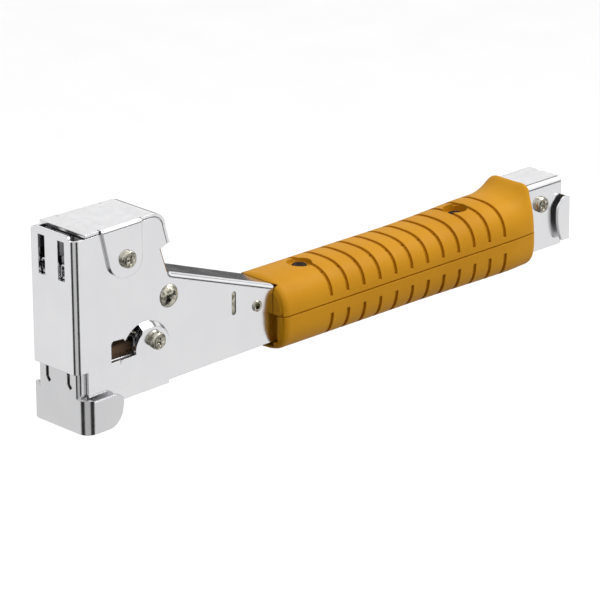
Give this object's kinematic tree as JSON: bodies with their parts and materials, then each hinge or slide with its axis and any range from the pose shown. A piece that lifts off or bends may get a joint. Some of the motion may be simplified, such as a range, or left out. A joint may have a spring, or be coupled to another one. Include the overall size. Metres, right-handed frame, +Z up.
{
  "type": "hammer tacker",
  "caption": "Swing-type staple hammer: folded steel head and neck, striking nose, staple magazine hinged in the handle, driver lever, moulded two-part grip and pull-out rear end.",
  "frame": {"origin": "centre of the striking face, the flat underside of the hardened staple guide, with the tool upright as it meets the work", "axes": "+X from the head towards the end of the handle, +Y across the tool, +Z up from the striking face towards the top of the head"},
  "size_m": [0.3443, 0.0418, 0.0994],
  "materials": {
    "plated_sheet": "bright plated folded sheet",
    "nose_sheet": "bright plated hardened sheet",
    "plated_fasteners": "dull nickel plated",
    "hard_steel": "ground and hardened",
    "plain_steel": "zinc plated pressed steel",
    "black_fasteners": "black oxide",
    "cast_block": "dark cast block",
    "spring_wire": "drawn spring wire",
    "staple_wire": "galvanised flat wire",
    "rod_steel": "drawn bright rod",
    "bumper_fibre": "brown impact pad",
    "slider_plastic": "black moulded plastic",
    "pusher_steel": "pressed steel",
    "grip_plastic": "mustard moulded plastic"
  },
  "bodies": {
    "frame": {"frame_housing": "plated_sheet", "top_cap": "plated_sheet", "cap_screws": "plated_fasteners", "driver_guide": "cast_block", "lever_rivet": "plated_fasteners", "lever_spacers": "hard_steel", "stop_bolt": "plated_fasteners", "stop_discs": "hard_steel", "stop_spacers": "hard_steel", "neck_rivet": "plated_fasteners", "pivot_tube": "hard_steel", "pivot_screws": "plated_fasteners", "grip_upper": "grip_plastic", "grip_lower": "grip_plastic", "grip_screws": "black_fasteners", "grip_nuts": "hard_steel", "grip_dowels": "hard_steel", "neck_brace": "plated_fasteners", "return_spring_left": "spring_wire", "return_spring_right": "spring_wire"},
    "magazine": {"magazine_channel": "plain_steel", "staple_core": "plain_steel", "staple_guide": "hard_steel", "magazine_blocks": "hard_steel", "stop_bracket": "plain_steel", "strike_bumper": "bumper_fibre", "striking_nose": "nose_sheet", "staple_strips": "staple_wire"},
    "lever": {"drive_lever": "plain_steel", "lever_rollers": "hard_steel", "roller_pin": "hard_steel"},
    "driver": {"driver_blade": "hard_steel", "blade_rivets": "hard_steel", "blade_carrier": "plain_steel", "carrier_pin": "hard_steel"},
    "pusher": {"pusher": "pusher_steel"},
    "rear_pull": {"end_pull": "plated_sheet", "pull_plug": "slider_plastic", "pusher_rod": "rod_steel", "latch_leaf": "spring_wire", "pusher_spring": "spring_wire"}
  },
  "joints": [
    {"name": "magazine_swing", "type": "hinge", "parent": "frame", "child": "magazine", "pos_m": [0.3094, 0, 0.0375], "axis": [0, 1, 0], "range_deg": [0, 2.04], "stiffness_Nm_per_rad": 180, "springref_deg": -5.73, "deforming": ["return_spring_left", "return_spring_right"]},
    {"name": "lever_turn", "type": "hinge", "parent": "frame", "child": "lever", "pos_m": [0.0456, 0, 0.0552], "axis": [0, 1, 0], "range_deg": [-13.9, 0]},
    {"name": "driver_slide", "type": "slide", "parent": "frame", "child": "driver", "axis": [0, 0, -1], "range_m": [0, 0.01235]},
    {"name": "pull_slide", "type": "slide", "parent": "magazine", "child": "rear_pull", "axis": [1, 0, 0], "range_m": [0, 0.19], "deforming": ["pusher_spring"]},
    {"name": "pusher_slide", "type": "slide", "parent": "magazine", "child": "pusher", "axis": [1, 0, 0], "range_m": [0, 0.04], "stiffness_N_per_m": 60, "springref_m": -0.12, "deforming": ["pusher_spring"]}
  ],
  "couplings": [
    {"joint": "lever_turn", "follows": "magazine_swing", "ratio": -6.77},
    {"joint": "driver_slide", "follows": "magazine_swing", "m_per_rad": 0.3443}
  ]
}
